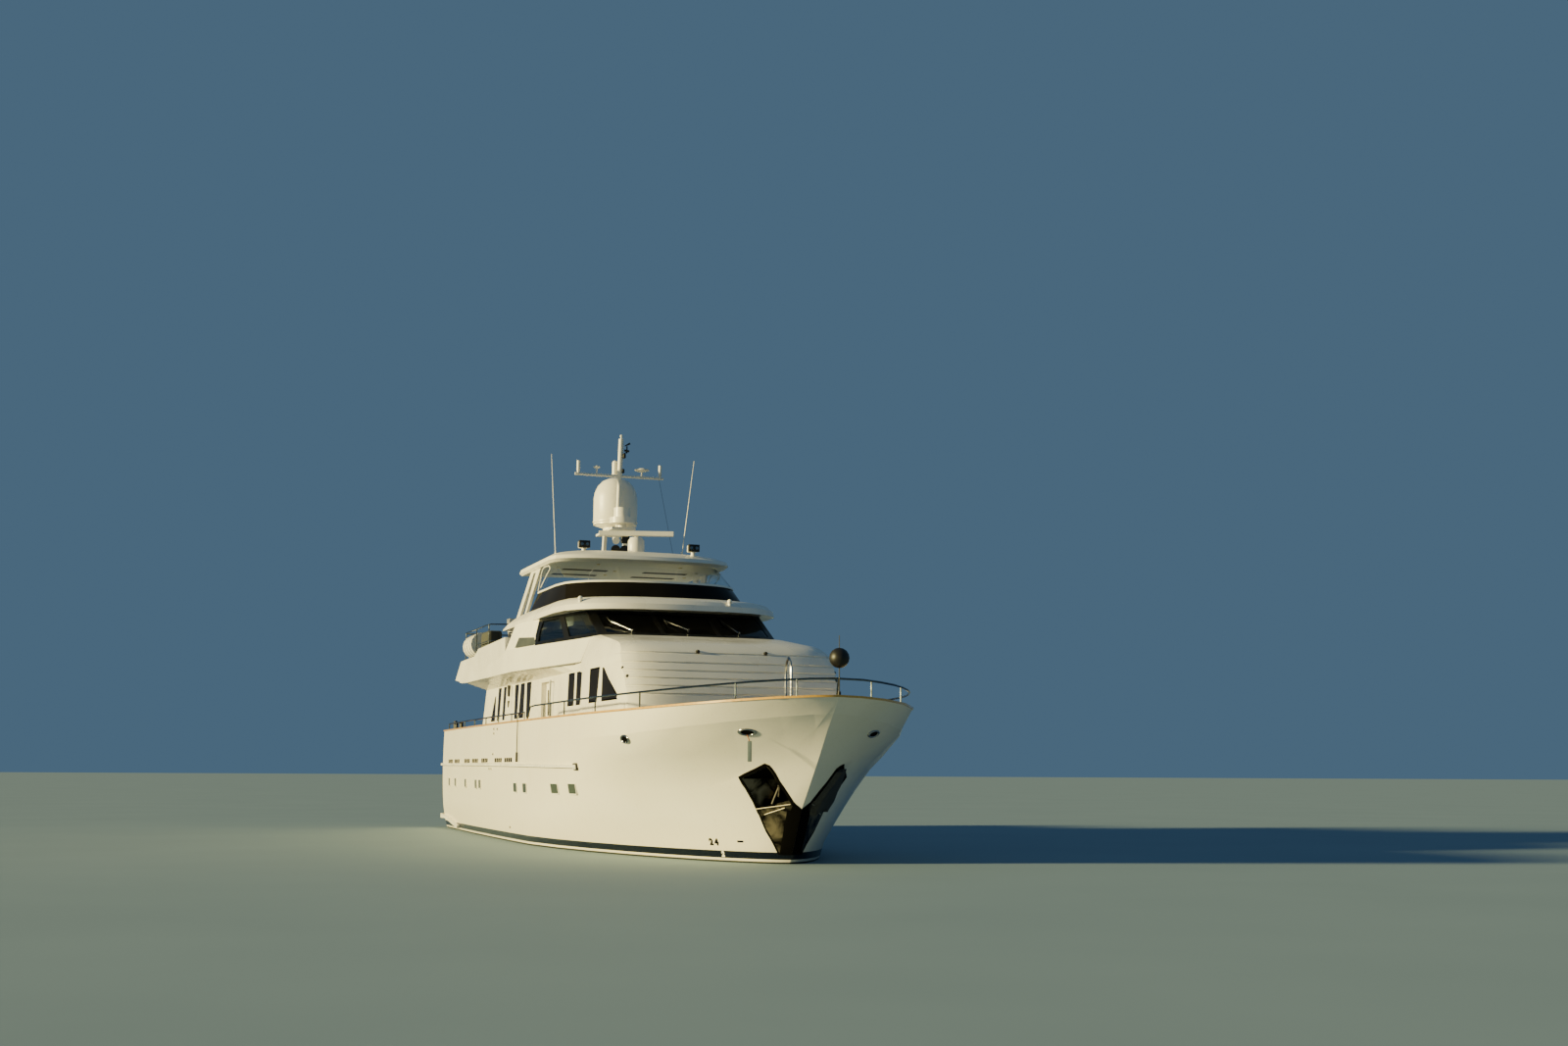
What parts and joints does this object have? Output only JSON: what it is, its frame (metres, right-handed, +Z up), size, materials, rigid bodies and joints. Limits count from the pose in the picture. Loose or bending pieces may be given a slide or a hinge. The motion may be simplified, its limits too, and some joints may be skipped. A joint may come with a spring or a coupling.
{
  "type": "motor yacht",
  "caption": "Raised-pilothouse motor yacht with bulwarks, side decks, flybridge under a hardtop, mast, crane and running gear, afloat.",
  "frame": {"origin": "on the waterline, on the centreline, amidships", "axes": "+X forward, +Y to port, +Z up"},
  "size_m": [27.28, 6.5442, 12.8772],
  "materials": {
    "white_paint": "gloss",
    "teak": "varnished",
    "steel": "polished",
    "bronze": "dull",
    "black_paint": "satin",
    "cover_cloth": "woven",
    "cast_iron": "galvanised, weathered",
    "dark_glass": "tinted",
    "clear_glass": "clear",
    "white_plastic": "gloss",
    "grey_plastic": "matte",
    "rope": "braided",
    "rubber": "moulded",
    "upholstery": "stitched vinyl"
  },
  "bodies": {
    "yacht": {"hull": "white_paint", "cap_rail": "teak", "rub_rail_starboard": "white_paint", "rub_rail_port": "white_paint", "swim_platform": "white_paint", "transom_ladder": "steel", "anchor_plate_starboard": "black_paint", "anchor_plate_port": "black_paint", "stowed_anchor": "cast_iron", "windlass": "steel", "bow_rail": "steel", "hand_rail_starboard": "steel", "hand_rail_port": "steel", "jackstaff": "black_paint", "foredeck_hoop": "steel", "hanging_line": "rope", "line_weight": "rubber", "propeller_shaft_starboard": "bronze", "propeller_shaft_port": "bronze", "deckhouse_walls": "white_paint", "house_front": "white_paint", "aft_window_glass_starboard": "dark_glass", "aft_window_glass_port": "dark_glass", "fore_window_glass_starboard": "dark_glass", "fore_window_glass_port": "dark_glass", "bridge_deck": "white_paint", "pilothouse_walls": "black_paint", "pilothouse_glass": "dark_glass", "pilothouse_aft_wall": "white_paint", "flybridge_deck": "white_paint", "flybridge_screen": "dark_glass", "screen_capping": "white_paint", "clear_screen": "clear_glass", "helm_console": "white_plastic", "helm_seat": "upholstery", "flybridge_settee": "upholstery", "hardtop": "white_paint", "hardtop_pillars_starboard": "white_paint", "hardtop_pillars_port": "white_paint", "mast": "white_paint", "satellite_dome": "white_plastic", "small_dome": "white_plastic", "radar_pedestal": "white_plastic", "boat_deck_rail": "steel", "life_raft": "white_plastic", "covered_gear": "cover_cloth"},
    "propeller_starboard": {"propeller_starboard": "bronze"},
    "propeller_port": {"propeller_port": "bronze"},
    "rudder_starboard": {"rudder_starboard": "bronze"},
    "rudder_port": {"rudder_port": "bronze"},
    "stabiliser_starboard": {"stabiliser_starboard": "white_paint"},
    "stabiliser_port": {"stabiliser_port": "white_paint"},
    "side_door_starboard": {"side_door_starboard": "white_paint"},
    "side_door_port": {"side_door_port": "white_paint"},
    "saloon_door": {"saloon_door": "dark_glass"},
    "transom_gate": {"transom_gate": "white_paint"},
    "foredeck_hatch": {"foredeck_hatch": "white_paint"},
    "radar_array": {"radar_array": "white_plastic"},
    "crane_post": {"crane_post": "white_paint"},
    "crane_boom": {"crane_boom": "grey_plastic"}
  },
  "joints": [
    {"name": "propeller_starboard_spin", "type": "hinge", "parent": "yacht", "child": "propeller_starboard", "pos_m": [-10.55, -1.35, -1.45], "axis": [0.9962, 0, 0.0872], "continuous": true},
    {"name": "propeller_port_spin", "type": "hinge", "parent": "yacht", "child": "propeller_port", "pos_m": [-10.55, 1.35, -1.45], "axis": [0.9962, 0, 0.0872], "continuous": true},
    {"name": "rudder_starboard_turn", "type": "hinge", "parent": "yacht", "child": "rudder_starboard", "pos_m": [-11.6, -1.35, -0.9], "axis": [0, 0, 1], "range_deg": [-35, 35]},
    {"name": "rudder_port_turn", "type": "hinge", "parent": "yacht", "child": "rudder_port", "pos_m": [-11.6, 1.35, -0.9], "axis": [0, 0, 1], "range_deg": [-35, 35]},
    {"name": "stabiliser_starboard_tilt", "type": "hinge", "parent": "yacht", "child": "stabiliser_starboard", "pos_m": [0.6, -2.35, -1.13], "axis": [0, -0.7071, -0.7071], "range_deg": [-20, 20]},
    {"name": "stabiliser_port_tilt", "type": "hinge", "parent": "yacht", "child": "stabiliser_port", "pos_m": [0.6, 2.35, -1.13], "axis": [0, 0.7071, -0.7071], "range_deg": [-20, 20]},
    {"name": "side_door_starboard_slide", "type": "slide", "parent": "yacht", "child": "side_door_starboard", "axis": [-1, 0, 0], "range_m": [0, 0.9]},
    {"name": "side_door_port_slide", "type": "slide", "parent": "yacht", "child": "side_door_port", "axis": [-1, 0, 0], "range_m": [0, 0.9]},
    {"name": "saloon_door_swing", "type": "hinge", "parent": "yacht", "child": "saloon_door", "pos_m": [-8.132, -0.46, 3], "axis": [0, 0, 1], "range_deg": [0, 100]},
    {"name": "transom_gate_swing", "type": "hinge", "parent": "yacht", "child": "transom_gate", "pos_m": [-12.478, 1.1, 2.5], "axis": [0, 0, 1], "range_deg": [0, 100]},
    {"name": "foredeck_hatch_lift", "type": "hinge", "parent": "yacht", "child": "foredeck_hatch", "pos_m": [8.988, 0, 2.3753], "axis": [0, -1, 0], "range_deg": [0, 80]},
    {"name": "radar_array_spin", "type": "hinge", "parent": "yacht", "child": "radar_array", "pos_m": [-0.79, 0, 7.95], "axis": [0, 0, 1], "continuous": true},
    {"name": "crane_slew", "type": "hinge", "parent": "yacht", "child": "crane_post", "pos_m": [-6.3, -2.1, 4.7], "axis": [0, 0, 1], "range_deg": [0, 180]},
    {"name": "crane_boom_lift", "type": "hinge", "parent": "crane_post", "child": "crane_boom", "pos_m": [-6.3, -2.1, 5.96], "axis": [1, 0, 0], "range_deg": [0, 65]}
  ],
  "couplings": [
    {"joint": "rudder_port_turn", "follows": "rudder_starboard_turn", "ratio": 1},
    {"joint": "stabiliser_port_tilt", "follows": "stabiliser_starboard_tilt", "ratio": -1}
  ]
}
